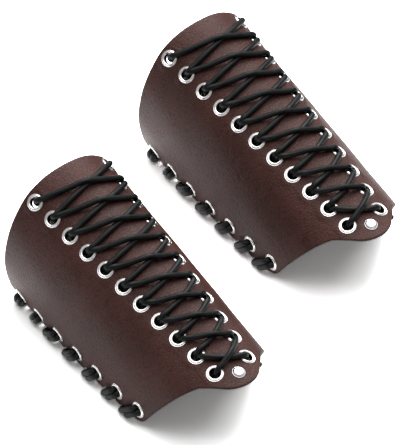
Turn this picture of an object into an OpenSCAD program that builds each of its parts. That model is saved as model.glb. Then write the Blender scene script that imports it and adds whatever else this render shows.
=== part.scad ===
// Pair of lace-up forearm cuffs. Each is one leather sheet rolled into a tapered arch,
// open along the table, with decorative lacing over the crown and a closing lace below.
// Each cuff has its crown over X = 0, its elbow end at Y = 0 and its wrist end towards -Y.
// Millimetres, Z up, the table at Z = 0.

/* [Leather] */
// Thickness of the leather
leather_t = 2.2; // [1.6:0.1:3]
// Height of the crown above the table at the elbow end
crown_h_elbow = 97; // [90:1:104]
// Height of the crown above the table at the wrist station
crown_h_wrist = 47; // [43:1:52]
// Distance of the wrist station from the elbow end
wrist_station = 180; // [170:1:195]
// Radius of the crown at the elbow end
crown_r_elbow = 37; // [34:1:40]
// Radius of the crown at the wrist station
crown_r_wrist = 38; // [35:1:41]
// Radius of the flanks at the elbow end
flank_r_elbow = 84; // [78:1:92]
// Radius of the flanks at the wrist station
flank_r_wrist = 76; // [70:1:84]
// Angle from the crown at which a flank begins
flank_angle = 64; // [58:1:70]

/* [Outline] */
// Distance from the elbow end to the tip of the wrist tab
tab_tip = 177; // [174:0.5:184]
// Radius of the tab's round tip
tab_r = 19; // [16:0.5:21]
// Half width of the tab where its shoulders meet the skirt
shoulder_w = 25.5; // [23:0.5:28]
// Slope of the wrist edge from the shoulders to the table
skirt_angle = 29.5; // [26:0.5:31]
// How far the elbow edge sweeps back from the crown to the table
elbow_sweep = 12; // [8:0.5:16]
// Radius of the four corners at the table
corner_r = 7; // [4:0.5:9]

/* [Eyelets] */
// Radial width of the rolled rim
rim_w = 2.05; // [1.6:0.05:2.3]
// Width of the flat lip round the rim
lip_w = 0.35; // [0.2:0.05:0.5]
// Thickness of the lip
lip_t = 0.35; // [0.25:0.05:0.5]
// Depth that the rim is pressed into the leather
rim_press = 0.2; // [0.1:0.05:0.4]
// Wall of the barrel
barrel_wall = 0.3; // [0.2:0.05:0.5]
// Thickness of the washer behind the leather
washer_t = 0.5; // [0.3:0.05:0.8]
// Radial width of the washer
washer_w = 1.7; // [1.2:0.05:2]
// Clearance of a barrel or shank in its hole
hole_clearance = 0.05; // [0.02:0.01:0.1]

/* [Rows] */
// Number of lacing eyelets in each row on the crown
lacing_rows = 11; // [9:1:12]
// Station of the first lacing eyelets
lacing_first = 5; // [5:0.5:9]
// Station of the last lacing eyelets
lacing_last = 160.5; // [156:0.5:162]
// Distance of the first lacing eyelets from the crown line
spread_elbow = 31; // [28:0.5:33]
// Distance of the last lacing eyelets from the crown line
spread_wrist = 12.3; // [11:0.1:13]
// Number of eyelets along each lower edge
edge_rows = 7; // [5:1:7]
// Station of the first edge eyelets
edge_first = 1.5; // [1:0.5:6]
// Station of the last edge eyelets
edge_last = 124; // [118:0.5:124.5]
// Distance of the edge eyelets from the lower edge
edge_margin = 10.5; // [9.5:0.5:12]

/* [Rivet] */
// Station of the rivet in the tab
rivet_station = 168; // [167:0.5:170]
// Diameter of the domed cap
rivet_cap_d = 8; // [6:0.5:8.5]
// Height of the domed cap
rivet_cap_h = 1.9; // [1.5:0.1:2.4]
// Diameter of the shank
rivet_shank_d = 2.8; // [2.2:0.1:3.2]
// Diameter of the foot behind the leather
rivet_foot_d = 7; // [5:0.5:8]
// Thickness of the foot
rivet_foot_t = 0.8; // [0.5:0.1:1.2]

/* [Laces] */
// Diameter of the round lace
lace_d = 3.1; // [2.6:0.1:3.2]
// Gap between two laces, or a lace and what it passes
lace_gap = 0.15; // [0.1:0.05:0.2]
// Diameter of a knot
knot_d = 8.4; // [8:0.2:9]
// Length of the lace left behind a knot
tail = 14; // [10:1:18]
// How far the first strands bow towards the wrist between their eyelets
bow_elbow = 6; // [2:0.5:6.5]
// How far the last strands bow towards the wrist between their eyelets
bow_wrist = 3.5; // [1:0.5:4]

/* [Pair] */
// Distance between the two crown lines
pair_spacing = 142; // [130:1:170]
// How far the left cuff stands forward of the right one
pair_shift = 53.5; // [40:0.5:70]

/* [Hidden] */

LEFT = -1;
RIGHT = 1;
deg = 180 / PI;
lace_r = lace_d / 2;
// Half the distance between the two laces that share an eyelet
twin = (lace_d + lace_gap) / 2;
bore_r = lace_d + lace_gap;
rim_r = bore_r + rim_w;
rim_h = (rim_w - lip_w) / 2 - rim_press;
hole_r = bore_r + barrel_wall + hole_clearance;
// Radius of the barrel's end where it is rolled over the washer
roll_r = 0.6;
washer_back = -leather_t - washer_t;
knot_r = knot_d / 2;
lace_sides = 8;
// Distance between the straight generators of the sheet
generator_step = 2.6;
sheet_reach = 132;
// Softness of the elbow edge where it passes over the crown
elbow_soft = 12;
// Distance that the closing lace drifts towards the elbow before it passes under the edge
drift = [3, 6, 11, 10, 9, 9, 11];
// Distance up the sheet at which the closing lace turns to go under the edge
edge_lift = 2;
// Height of the rise in the lower edge over each pass of the closing lace
rise_r = lace_d + 1;

// Section of the sheet at a station: a crown arc that runs into two flank arcs
function along(elbow, wrist, v) = elbow + (wrist - elbow) * v / wrist_station;
function crown_r(v) = along(crown_r_elbow, crown_r_wrist, v);
function flank_r(v) = along(flank_r_elbow, flank_r_wrist, v);
function crown_h(v) = along(crown_h_elbow, crown_h_wrist, v);

// Turn of the section at arc length s from the crown, and the arc length at a turn
function turn_at(v, s) =
    let (c = crown_r(v) * flank_angle / deg, q = abs(s))
    sign(s) * (q <= c ? q / crown_r(v) * deg : flank_angle + (q - c) / flank_r(v) * deg);
function arc_at(v, a) =
    (crown_r(v) * min(a, flank_angle) + flank_r(v) * max(a - flank_angle, 0)) / deg;

// Point of the outer face at a station and a turn, with a straight generator at each turn
function face_pt(v, a) =
    let (q = abs(a), c = min(q, flank_angle), f = max(q, flank_angle),
         x = crown_r(v) * sin(c) + flank_r(v) * (sin(f) - sin(flank_angle)),
         drop = crown_r(v) * (1 - cos(c)) + flank_r(v) * (cos(flank_angle) - cos(f)))
    [sign(a) * x, -v, crown_h(v) - drop];
function unit(p) = p / norm(p);
function tangent(a) = [cos(a), 0, -sin(a)];
function outward(v, a) = unit(cross(face_pt(v + 1, a) - face_pt(v, a), tangent(a)));
function sheet_pt(v, s, n) = let (a = turn_at(v, s)) face_pt(v, a) + n * outward(v, a);

// Arc length from the crown to the table at a station
function table_arc(v) =
    arc_at(v, acos(cos(flank_angle)
        - (crown_h(v) - crown_r(v) * (1 - cos(flank_angle))) / flank_r(v)));

// Outline: the stations of the elbow edge and the wrist edge at an arc length
function corner_cut(s, end) =
    s < end - corner_r ? 0
    : corner_r - sqrt(max(0, pow(corner_r, 2) - pow(s - end + corner_r, 2)));
function soft(s) = sqrt(s * s + elbow_soft * elbow_soft) - elbow_soft;
elbow_end = table_arc(-elbow_sweep);
function elbow_edge(s) = -elbow_sweep * soft(s) / soft(elbow_end) + corner_cut(s, elbow_end);
tab_run = tab_r * sin(45);
tab_drop = tab_r - tab_run;
shoulder_v = tab_tip - tab_drop - (shoulder_w - tab_run);
function skirt(s) = shoulder_v - (s - shoulder_w) * tan(skirt_angle);
skirt_end = table_arc(skirt(table_arc(skirt(table_arc(edge_last)))));
function wrist_edge(s) =
    s < tab_run ? tab_tip - tab_r + sqrt(tab_r * tab_r - s * s)
    : s < shoulder_w ? tab_tip - tab_drop - (s - tab_run)
    : skirt(s) - corner_cut(s, skirt_end);

// Frame of a fitting on the outer face: origin, then lateral, elbow-ward and outward axes
function seat(v, s) =
    let (a = turn_at(v, s), x = tangent(a), z = outward(v, a))
    [face_pt(v, a), x, cross(z, x), z];
function seat_pt(f, p) = f[0] + p[0] * f[1] + p[1] * f[2] + p[2] * f[3];
module at_seat(v, s) {
    f = seat(v, s);
    multmatrix([
        [f[1][0], f[2][0], f[3][0], f[0][0]],
        [f[1][1], f[2][1], f[3][1], f[0][1]],
        [f[1][2], f[2][2], f[3][2], f[0][2]],
        [0, 0, 0, 1]
    ]) children();
}

// Stations and arc lengths of the two eyelet patterns
function share(i, count) = i / (count - 1);
function lacing_v(i) = lacing_first + (lacing_last - lacing_first) * share(i, lacing_rows);
function lacing_s(i) = spread_elbow + (spread_wrist - spread_elbow) * share(i, lacing_rows);
function edge_v(i) = edge_first + (edge_last - edge_first) * share(i, edge_rows);
function edge_s(i) = table_arc(edge_v(i)) - edge_margin;
// Lean of the closing lace below an edge eyelet, and the stations of its two passes there:
// way is 1 for the pass on the elbow side and -1 for the one on the wrist side
function lean_at(i) = atan(drift[i] / (edge_margin - edge_lift));
function pass_v(i, way) = edge_v(i) - drift[i] - way * twin / cos(lean_at(i));

module each_lacing_eyelet(side) {
    for (i = [0:lacing_rows - 1]) at_seat(lacing_v(i), side * lacing_s(i)) children();
}
module each_edge_eyelet(side) {
    for (i = [0:edge_rows - 1]) at_seat(edge_v(i), side * edge_s(i)) children();
}

// The rolled sheet: generators from the elbow edge to the wrist edge, both faces
module rolled_sheet() {
    last = 2 * ceil(sheet_reach / generator_step);
    skirt_mid = (shoulder_v + skirt(skirt_end)) / 2;
    pts = [for (i = [0:last])
        let (a = turn_at(0, (i - last / 2) * generator_step),
             ve = elbow_edge(arc_at(0, abs(a))),
             vw = wrist_edge(arc_at(skirt_mid, abs(a))),
             n = outward(0, a) * leather_t)
        each [face_pt(ve, a), face_pt(vw, a), face_pt(vw, a) - n, face_pt(ve, a) - n]];
    strips = [for (i = [0:last - 1], k = [0:3])
        let (p = 4 * i + k, q = 4 * i + (k + 1) % 4)
        each [[p, q + 4, q], [p, p + 4, q + 4]]];
    ends = [[0, 2, 3], [0, 1, 2], [4 * last, 4 * last + 2, 4 * last + 1],
            [4 * last, 4 * last + 3, 4 * last + 2]];
    polyhedron(pts, concat(strips, ends));
}

module eyelet_hole() {
    translate([0, 0, -3 * leather_t]) cylinder(h = 6 * leather_t, r = hole_r, $fn = 48);
    translate([0, 0, -rim_press]) cylinder(h = 2, r = rim_r + lace_gap, $fn = 48);
    translate([0, 0, -leather_t - 2]) cylinder(h = 2, r = washer_r() + lace_gap, $fn = 48);
}
function washer_r() = hole_r + washer_w;

module rivet_hole() {
    translate([0, 0, -3 * leather_t])
        cylinder(h = 6 * leather_t, d = rivet_shank_d + 2 * hole_clearance, $fn = 48);
    translate([0, 0, -rim_press]) cylinder(h = 2, d = rivet_cap_d + lace_gap, $fn = 48);
    translate([0, 0, -leather_t - 2]) cylinder(h = 2, d = rivet_foot_d + lace_gap, $fn = 48);
}

module leather() {
    color([0.27, 0.17, 0.16])
    difference() {
        rolled_sheet();
        translate([-sheet_reach, -2 * wrist_station, -crown_h_elbow])
            cube([2 * sheet_reach, 3 * wrist_station, crown_h_elbow]);
        for (side = [LEFT, RIGHT]) {
            each_lacing_eyelet(side) eyelet_hole();
            each_edge_eyelet(side) eyelet_hole();
        }
        at_seat(rivet_station, 0) rivet_hole();
        for (i = [0:edge_rows - 1], way = [LEFT, RIGHT])
            translate([-sheet_reach / 2, -pass_v(i, way), 0]) rotate([0, 90, 0])
                cylinder(h = sheet_reach, r = rise_r, $fn = 48);
        translate([-sheet_reach / 2, -pass_v(0, 1), -rise_r])
            cube([sheet_reach, sheet_reach, 2 * rise_r]);
    }
}

// Rolled rim with a flat lip outside, straight barrel, and its end rolled over the washer
module eyelet() {
    roll = rim_w - lip_w;
    color([0.9, 0.9, 0.9])
    rotate_extrude($fn = 64) {
        intersection() {
            translate([bore_r + roll / 2, -rim_press]) circle(d = roll, $fn = 48);
            translate([0, -rim_press]) square([2 * rim_r, rim_w]);
        }
        translate([bore_r + roll / 2, -rim_press]) square([roll / 2 + lip_w, lip_t]);
        translate([bore_r, washer_back - roll_r / 2])
            square([barrel_wall, leather_t + washer_t - rim_press + roll_r / 2]);
        intersection() {
            translate([bore_r + roll_r, washer_back]) circle(r = roll_r, $fn = 48);
            translate([0, washer_back - 2 * roll_r]) square([2 * rim_r, 2 * roll_r]);
        }
    }
}

module washer() {
    color([0.75, 0.75, 0.74])
    translate([0, 0, washer_back]) difference() {
        cylinder(h = washer_t, r = washer_r(), $fn = 64);
        translate([0, 0, -1]) cylinder(h = washer_t + 2, r = hole_r, $fn = 64);
    }
}

module lacing_eyelets(side) {
    each_lacing_eyelet(side) eyelet();
}
module lacing_washers(side) {
    each_lacing_eyelet(side) washer();
}
module edge_eyelets(side) {
    each_edge_eyelet(side) eyelet();
}
module edge_washers(side) {
    each_edge_eyelet(side) washer();
}

// Domed cap on a flat lip, with a blind socket that closes over the post's shank
module rivet_cap() {
    rise = rivet_cap_h - lip_t;
    dome_r = (pow(rivet_cap_d / 2 - lip_w, 2) + rise * rise) / (2 * rise);
    socket_r = rivet_shank_d / 2 + hole_clearance;
    color([0.92, 0.92, 0.92])
    at_seat(rivet_station, 0) translate([0, 0, -rim_press])
    rotate_extrude($fn = 64) difference() {
        union() {
            intersection() {
                translate([0, rivet_cap_h - dome_r]) circle(r = dome_r, $fn = 96);
                translate([0, lip_t]) square([rivet_cap_d, rivet_cap_h]);
            }
            square([rivet_cap_d / 2, lip_t]);
        }
        square([socket_r, rivet_cap_h * 0.6]);
    }
}
module rivet_post() {
    shank = leather_t - rim_press + rivet_cap_h * 0.6 - hole_clearance;
    color([0.8, 0.8, 0.8])
    at_seat(rivet_station, 0) translate([0, 0, -leather_t - rivet_foot_t]) {
        cylinder(h = rivet_foot_t, d = rivet_foot_d, $fn = 64);
        cylinder(h = rivet_foot_t + shank, d = rivet_shank_d, $fn = 64);
    }
}

// A lace: a round tube swept along points, with rings that keep their width round a bend
function leg(p, i) = unit(p[i + 1] - p[i]);
function heading(p, i) =
    i == 0 ? leg(p, 0)
    : i == len(p) - 1 ? leg(p, i - 1)
    : unit(leg(p, i - 1) + leg(p, i));
function square_to(n, t) = unit(n - (n * t) * t);
function frames(p) =
    [for (i = 0, n = square_to([0.31, 0.17, 1], heading(p, 0)); i < len(p);
          i = i + 1, n = i < len(p) ? square_to(n, heading(p, i)) : n) n];
function ring(p, i, n) =
    let (t = heading(p, i), b = cross(t, n),
         bend = i == 0 || i == len(p) - 1 ? [0, 0, 0] : leg(p, i) - leg(p, i - 1),
         half = norm(bend) / 2,
         m = half > 0.01 ? unit(bend) : [0, 0, 0],
         stretch = 1 / sqrt(1 - half * half) - 1)
    [for (k = [0:lace_sides - 1])
        let (w = lace_r * (cos(k * 360 / lace_sides) * n + sin(k * 360 / lace_sides) * b))
        p[i] + w + stretch * (w * m) * m];
module lace(p) {
    n = frames(p);
    m = lace_sides;
    last = len(p) - 1;
    pts = [for (i = [0:last]) each ring(p, i, n[i])];
    wall = [for (i = [0:last - 1], k = [0:m - 1])
        let (a = i * m + k, b = i * m + (k + 1) % m)
        each [[a, a + m, b + m], [a, b + m, b]]];
    caps = concat([for (k = [1:m - 2]) [0, k, k + 1]],
                  [for (k = [1:m - 2]) [last * m, last * m + k + 1, last * m + k]]);
    polyhedron(pts, concat(wall, caps));
}
function backwards(p) = [for (i = [len(p) - 1:-1:0]) p[i]];

// Top lace. Heights of its middle line above the outer face
lace_rest = lace_r + 0.7;
lace_over_rim = rim_h + lace_r + 2 * lace_gap;
lace_crossing = lace_rest + lace_d + 3 * lace_gap;
// Depth of its middle line behind an eyelet, and how much lower every second bar hangs
lace_behind = -leather_t - washer_t - roll_r - lace_r - lace_gap;
bar_drop = lace_d + 2 * lace_gap;

// Where a lace sits in its eyelet: in the middle where it is alone, else to one side
function berth(i, way) = i == 0 || i == lacing_rows - 1 ? 0 : way * twin;

// Points through an eyelet from the outside in, for a lace that arrives with a given slope
function dive(v, s, y, lean, drop) =
    let (f = seat(v, s), c = -sign(s))
    [seat_pt(f, [c * 3.9, y + 3.2 * lean, lace_over_rim]),
     seat_pt(f, [c * 0.7, y + 0.1 * lean, 1.6 + 0.3 * abs(lean)]),
     seat_pt(f, [0, y, washer_back]),
     seat_pt(f, [0, y, lace_behind]) - drop * square_to([0, 0, 1], f[2])];

// Strand over the crown from an eyelet of one row to the next eyelet of the other row. It
// bows towards the wrist, as the arch narrows there
function drop_at(i, side) = side > 0 && i > 0 && i < lacing_rows - 1 ? bar_drop : 0;
function strand(i, side, over) =
    let (sa = lacing_s(i), sb = lacing_s(i + 1), span = sa + sb,
         ya = berth(i, -1), yb = berth(i + 1, 1),
         va = lacing_v(i) - ya, vb = lacing_v(i + 1) - yb,
         bow = bow_elbow + (bow_wrist - bow_elbow) * share(i, lacing_rows - 1),
         slope = (vb - va) / span, bend = 4 * bow / span,
         h = over ? lace_crossing : lace_rest,
         spots = span > 34 ? (over ? [-12, -4, 4, 12] : [-13, 0, 13]) : (over ? [-3.5, 3.5] : [0]))
    concat(
        backwards(dive(lacing_v(i), side * sa, ya, -slope - bend, drop_at(i, side))),
        [for (d = spots)
            let (q = 0.5 + d / span)
            sheet_pt(va + (vb - va) * q + 4 * bow * q * (1 - q), side * (sa - q * span),
                     abs(d) < 8 ? h : lace_rest)],
        dive(lacing_v(i + 1), -side * sb, yb, slope - bend, drop_at(i + 1, side)));

// Half of the lace: each strand ends in a straight bar inside the crown, back to the side
// that the next strand leaves from. At the last crossing the lace that lay below is on top
function half_lacing(side) =
    [for (i = [0:lacing_rows - 2])
        each strand(i, side, i < lacing_rows - 2 ? side < 0 : side > 0)];

// Knot of two turns round the lace, about the Z axis
knot_half = lace_r * 1.85;
module knot() {
    turn_z = knot_half - lace_r;
    rotate_extrude($fn = 48) {
        for (side = [LEFT, RIGHT])
            translate([knot_r - lace_r, side * turn_z]) circle(r = lace_r, $fn = 32);
        translate([0, -turn_z]) square([knot_r - lace_r, 2 * turn_z]);
    }
}

// The knot behind the last eyelet on a side, and the tail that runs on from it
knot_n = washer_back - roll_r - lace_gap - knot_half;
function knot_seat(side) = seat_pt(seat(lacing_last, side * spread_wrist), [0, 0, knot_n]);
function tail_bend() = knot_seat(RIGHT) + tail * [0.46, 0.08, -0.2];
function tail_end(side) =
    side > 0 ? tail_bend() + tail * [0.2, -0.45, 0.02]
    : knot_seat(side) + tail * [0.7, -0.3, -0.4];

function top_route() = concat(
    [tail_end(LEFT), knot_seat(LEFT)],
    backwards(half_lacing(RIGHT)),
    half_lacing(LEFT),
    [knot_seat(RIGHT), tail_bend(), tail_end(RIGHT)]);
module top_lace() {
    color([0.07, 0.07, 0.08]) {
        lace(top_route());
        for (side = [LEFT, RIGHT])
            at_seat(lacing_last, side * spread_wrist) translate([0, 0, knot_n]) knot();
    }
}

// Closing lace. It goes through each edge eyelet twice. Both passes lie side by side below
// the eyelet, go under the edge, and cross the open side on storeys above the table
function storey(k) = lace_r + lace_gap + k * (lace_d + 2 * lace_gap);
function aside(side, way, turn) = way * twin * [-side * sin(turn), cos(turn)];
function under_edge(i, side, way) =
    let (v = pass_v(i, way), end = table_arc(v), p = face_pt(v, side * turn_at(v, end)),
         q = sheet_pt(v, side * (end - edge_lift), lace_rest))
    [p + [-side * 4, 0, storey(0)], [q[0], q[1], max(q[2], storey(0))]];
function climb(i, side, way, k) =
    let (f = seat(edge_v(i), side * edge_s(i)), q = lean_at(i), to = [side * cos(q), sin(q)],
         b = seat_pt(f, concat(aside(side, way, 0), lace_behind - 4 * lace_gap)),
         low = max(storey(2), b[2] - 0.7 * bar_drop))
    [seat_pt(f, concat(3.9 * to + aside(side, way, q), lace_over_rim)),
     seat_pt(f, concat(0.25 * to + 1.03 * aside(side, way, q / 2), 1.6)),
     seat_pt(f, concat(aside(side, way, 0), washer_back)),
     [b[0], b[1], low + k * bar_drop]];
function crossing(i, side, k) =
    let (va = pass_v(i, -1), vb = pass_v(i + 1, 1))
    [for (x = [6, -6]) [-side * x, -(va + vb) / 2 - (va - vb) * x / 72, storey(k)]];

// Half of the lace: it comes in on its own side, runs back inside as a straight bar, and
// leaves on the other side for the next row. The halves keep to different storeys
function half_closing(side) =
    let (k = side > 0 ? 0 : 1)
    [for (i = [0:edge_rows - 1])
        each concat(
            under_edge(i, side, 1), climb(i, side, 1, k),
            backwards(climb(i, -side, -1, k)), backwards(under_edge(i, -side, -1)),
            i < edge_rows - 1 ? crossing(i, side, k) : [])];

// The closing lace is tied at the elbow end. Its two ends cross inside the knot
tie = [0, -pass_v(0, 1), knot_r];
function tied_end(side) =
    [tie + [side * 10, 6.5, lace_r + lace_gap - knot_r], tie + [side * 4.2, 3.4, side * lace_r * 0.6],
     tie + [0, 0, side * (lace_r + lace_gap)]];
function closing_route() = concat(
    tied_end(LEFT), half_closing(RIGHT), backwards(half_closing(LEFT)),
    backwards(tied_end(RIGHT)));
module closing_lace() {
    color([0.07, 0.07, 0.08]) {
        lace(closing_route());
        translate(tie) rotate([0, 90, 0]) knot();
    }
}

// The pair about the middle of its footprint
elbow_reach = -min([for (s = [0:0.5:elbow_end]) elbow_edge(s)]);
middle_v = (tab_tip + pair_shift - elbow_reach) / 2;
module right_cuff() {
    translate([pair_spacing / 2, middle_v, 0]) children();
}
module left_cuff() {
    translate([-pair_spacing / 2, middle_v - pair_shift, 0]) children();
}

right_cuff() leather();  // right_cuff_leather
right_cuff() lacing_eyelets(LEFT);  // right_cuff_lacing_eyelets_left
right_cuff() lacing_eyelets(RIGHT);  // right_cuff_lacing_eyelets_right
right_cuff() lacing_washers(LEFT);  // right_cuff_lacing_washers_left
right_cuff() lacing_washers(RIGHT);  // right_cuff_lacing_washers_right
right_cuff() edge_eyelets(LEFT);  // right_cuff_edge_eyelets_left
right_cuff() edge_eyelets(RIGHT);  // right_cuff_edge_eyelets_right
right_cuff() edge_washers(LEFT);  // right_cuff_edge_washers_left
right_cuff() edge_washers(RIGHT);  // right_cuff_edge_washers_right
right_cuff() rivet_cap();  // right_cuff_rivet_cap
right_cuff() rivet_post();  // right_cuff_rivet_post
right_cuff() top_lace();  // right_cuff_top_lace
right_cuff() closing_lace();  // right_cuff_closing_lace
left_cuff() leather();  // left_cuff_leather
left_cuff() lacing_eyelets(LEFT);  // left_cuff_lacing_eyelets_left
left_cuff() lacing_eyelets(RIGHT);  // left_cuff_lacing_eyelets_right
left_cuff() lacing_washers(LEFT);  // left_cuff_lacing_washers_left
left_cuff() lacing_washers(RIGHT);  // left_cuff_lacing_washers_right
left_cuff() edge_eyelets(LEFT);  // left_cuff_edge_eyelets_left
left_cuff() edge_eyelets(RIGHT);  // left_cuff_edge_eyelets_right
left_cuff() edge_washers(LEFT);  // left_cuff_edge_washers_left
left_cuff() edge_washers(RIGHT);  // left_cuff_edge_washers_right
left_cuff() rivet_cap();  // left_cuff_rivet_cap
left_cuff() rivet_post();  // left_cuff_rivet_post
left_cuff() top_lace();  // left_cuff_top_lace
left_cuff() closing_lace();  // left_cuff_closing_lace
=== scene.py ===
import math

import bmesh
import bpy
import numpy as np
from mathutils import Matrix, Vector


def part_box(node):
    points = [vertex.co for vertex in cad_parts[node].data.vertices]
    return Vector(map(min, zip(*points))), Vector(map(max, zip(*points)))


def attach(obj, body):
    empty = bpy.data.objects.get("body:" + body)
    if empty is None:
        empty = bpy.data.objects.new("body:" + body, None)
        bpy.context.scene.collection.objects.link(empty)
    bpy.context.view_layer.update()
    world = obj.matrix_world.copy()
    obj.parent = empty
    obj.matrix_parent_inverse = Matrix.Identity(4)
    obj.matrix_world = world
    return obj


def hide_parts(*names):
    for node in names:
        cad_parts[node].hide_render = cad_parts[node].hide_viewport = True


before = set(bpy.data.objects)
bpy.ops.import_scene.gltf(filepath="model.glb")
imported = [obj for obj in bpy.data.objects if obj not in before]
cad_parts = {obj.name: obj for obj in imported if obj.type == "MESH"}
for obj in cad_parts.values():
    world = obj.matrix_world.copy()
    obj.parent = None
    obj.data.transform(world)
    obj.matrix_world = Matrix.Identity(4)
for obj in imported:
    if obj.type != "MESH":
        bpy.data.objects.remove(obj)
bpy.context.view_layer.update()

mm = 0.001  # shapes are worked out in millimetres, meshes are in metres

# Each cuff has its crown over x = 0, its elbow end at y = 0 and its wrist end towards -y.
# v is the distance from the elbow end, s the arc length from the crown line, n the height
# above the outer face, and a turn is the angle that the section has turned from the crown
cuff = {
    "thick": 2.2,
    "crownH": (97.0, 47.0),     # height of the crown at the elbow end and at the wrist station
    "crownR": (37.0, 38.0),     # radius of the crown there
    "flankR": (84.0, 76.0),     # radius of the flanks there
    "flankTurn": math.radians(64),
    "wristStation": 180.0,
    "tabTip": 177.0,            # v of the tab's tip
    "tabR": 19.0,
    "shoulderW": 25.5,          # half width where the shoulders meet the skirt
    "skirtSlope": math.tan(math.radians(29.5)),
    "skirtMid": 133.0,          # v at which the wrist edge's arc lengths are measured
    "elbowSweep": 12.0,         # how far the elbow edge sweeps back at the table
    "elbowSoft": 12.0,          # how softly the sweep starts at the crown
    "cornerR": 7.0,
}
rows = {
    "lacing": 11, "lacingV": (5.0, 160.5), "lacingS": (31.0, 12.3),
    "edge": 7, "edgeV": (1.5, 124.0), "edgeMargin": 10.5,
    "rivetV": 168.0,
}
lace = {
    "d": 3.1, "gap": 0.15, "knotD": 8.4, "tail": 14.0,
    "drift": (3, 6, 11, 10, 9, 9, 11),  # how far the closing lace leans to the elbow
    "edgeLift": 2.0,
    "rise": 4.1,                        # rise of the lower edge over each pass
    "bow": (6.0, 3.5),                  # bow of the first and last strands to the wrist
    "lie": 0.05,                        # gap under a strand that lies on the leather
    "press": 0.95,                      # height that an upper strand keeps over a lower one
    "swell": 0.17,                      # how much fuller a free stretch is than a held one
    "crest": 2.5,                       # how round an upper strand's crest is
    "knotTurns": 2.25, "knotPinch": 0.97,
    "uneven": 0.012,                    # share by which its thickness varies
    "every": 3.0,                       # distance between the points of a strand
    "sides": 16, "step": 0.9, "longest": 18,
}
eyelet = {
    "rimW": 2.05, "lipW": 0.35, "lipT": 0.35, "press": 0.2, "wall": 0.3,
    "clearance": 0.05, "washerT": 0.5, "rollR": 0.6, "soft": 0.1, "creaseFloor": 0.14,
    "segments": 56,
}
rivet = {"capD": 8.0, "capH": 1.9, "lipW": 0.35, "lipT": 0.35, "soft": 0.12, "hole": 1.45,
         "domeRings": 22, "segments": 56}

laceR = lace["d"] / 2
twin = (lace["d"] + lace["gap"]) / 2
boreR = lace["d"] + lace["gap"]
rimR = boreR + eyelet["rimW"]
rimH = (eyelet["rimW"] - eyelet["lipW"]) / 2 - eyelet["press"]
holeR = boreR + eyelet["wall"] + eyelet["clearance"]
washerBack = -cuff["thick"] - eyelet["washerT"]
overRim = rimH + laceR + 2 * lace["gap"]
behind = washerBack - eyelet["rollR"] - laceR - lace["gap"]
barDrop = lace["d"] + 2 * lace["gap"]
cosFlank = math.cos(cuff["flankTurn"])
sinFlank = math.sin(cuff["flankTurn"])


def along(key, v):
    # Straight run of a value from the elbow end to the wrist station
    a, b = cuff[key]
    return a + (b - a) * v / cuff["wristStation"]


def unit(p):
    return p / np.linalg.norm(p, axis=-1, keepdims=True)


def arcAt(v, a):
    # Arc length to a turn: the crown's arc, then the flank's arc
    c = cuff["flankTurn"]
    return along("crownR", v) * np.minimum(a, c) + along("flankR", v) * np.maximum(a - c, 0)


def turnAt(v, s):
    # The turn at an arc length, with the sign of s
    q, crown = np.abs(s), along("crownR", v) * cuff["flankTurn"]
    flank = cuff["flankTurn"] + (q - crown) / along("flankR", v)
    return np.sign(s) * np.where(q <= crown, q / along("crownR", v), flank)


def facePoint(v, a):
    # Crown arc of radius R to 64 degrees, then a wider arc that is tangent to it
    v, a = np.broadcast_arrays(np.asarray(v, float), np.asarray(a, float))
    q = np.abs(a)
    c, f = np.minimum(q, cuff["flankTurn"]), np.maximum(q, cuff["flankTurn"])
    x = along("crownR", v) * np.sin(c) + along("flankR", v) * (np.sin(f) - sinFlank)
    drop = along("crownR", v) * (1 - np.cos(c)) + along("flankR", v) * (cosFlank - np.cos(f))
    return np.stack([np.sign(a) * x, -v, along("crownH", v) - drop], -1)


def tangent(a):
    # Direction of the section at a turn
    return np.stack([np.cos(a), np.zeros_like(a), -np.sin(a)], -1)


def outward(v, a):
    # Normal: the generator crossed with the section's tangent
    v, a = np.broadcast_arrays(np.asarray(v, float), np.asarray(a, float))
    return unit(np.cross(facePoint(v + 1, a) - facePoint(v, a), tangent(a)))


def sheetPoint(v, s, n):
    # The face at an arc length, moved out by n along its normal
    a = turnAt(v, s)
    return facePoint(v, a) + np.asarray(n)[..., None] * outward(v, a)


def tableTurn(v, z=0.0):
    # The turn at which the flank comes down to height z
    rise = along("crownH", v) - z - along("crownR", v) * (1 - cosFlank)
    return np.arccos(np.clip(cosFlank - rise / along("flankR", v), -1, 1))


def tableArc(v):
    # Arc length from the crown line down to the table
    return arcAt(v, tableTurn(v))


def cornerCut(s, end):
    # Quarter circle that takes the corner off at the table
    r = cuff["cornerR"]
    return np.where(s < end - r, 0, r - np.sqrt(np.maximum(0, r**2 - (s - end + r) ** 2)))


def soft(s):
    # A hyperbola: flat at the crown line, then a straight run
    return np.sqrt(s * s + cuff["elbowSoft"] ** 2) - cuff["elbowSoft"]


elbowEnd = float(tableArc(-cuff["elbowSweep"]))
tabRun = cuff["tabR"] * math.sin(math.radians(45))
tabDrop = cuff["tabR"] - tabRun
shoulderV = cuff["tabTip"] - tabDrop - (cuff["shoulderW"] - tabRun)


def elbowEdge(s):
    # The edge sweeps back towards the elbow from the crown down to the table
    return -cuff["elbowSweep"] * soft(s) / soft(elbowEnd) + cornerCut(s, elbowEnd)


def skirt(s):
    # A straight line from the end of the shoulder
    return shoulderV - (s - cuff["shoulderW"]) * cuff["skirtSlope"]


skirtEnd = float(tableArc(skirt(tableArc(skirt(tableArc(rows["edgeV"][1]))))))


def wristEdge(s):
    # Round tab, 45 degree shoulders, then a straight skirt down to the table
    tip = cuff["tabTip"] - cuff["tabR"] + np.sqrt(np.maximum(cuff["tabR"] ** 2 - s * s, 0))
    side = cuff["tabTip"] - tabDrop - (s - tabRun)
    low = skirt(s) - cornerCut(s, skirtEnd)
    return np.where(s < tabRun, tip, np.where(s < cuff["shoulderW"], side, low))


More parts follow.
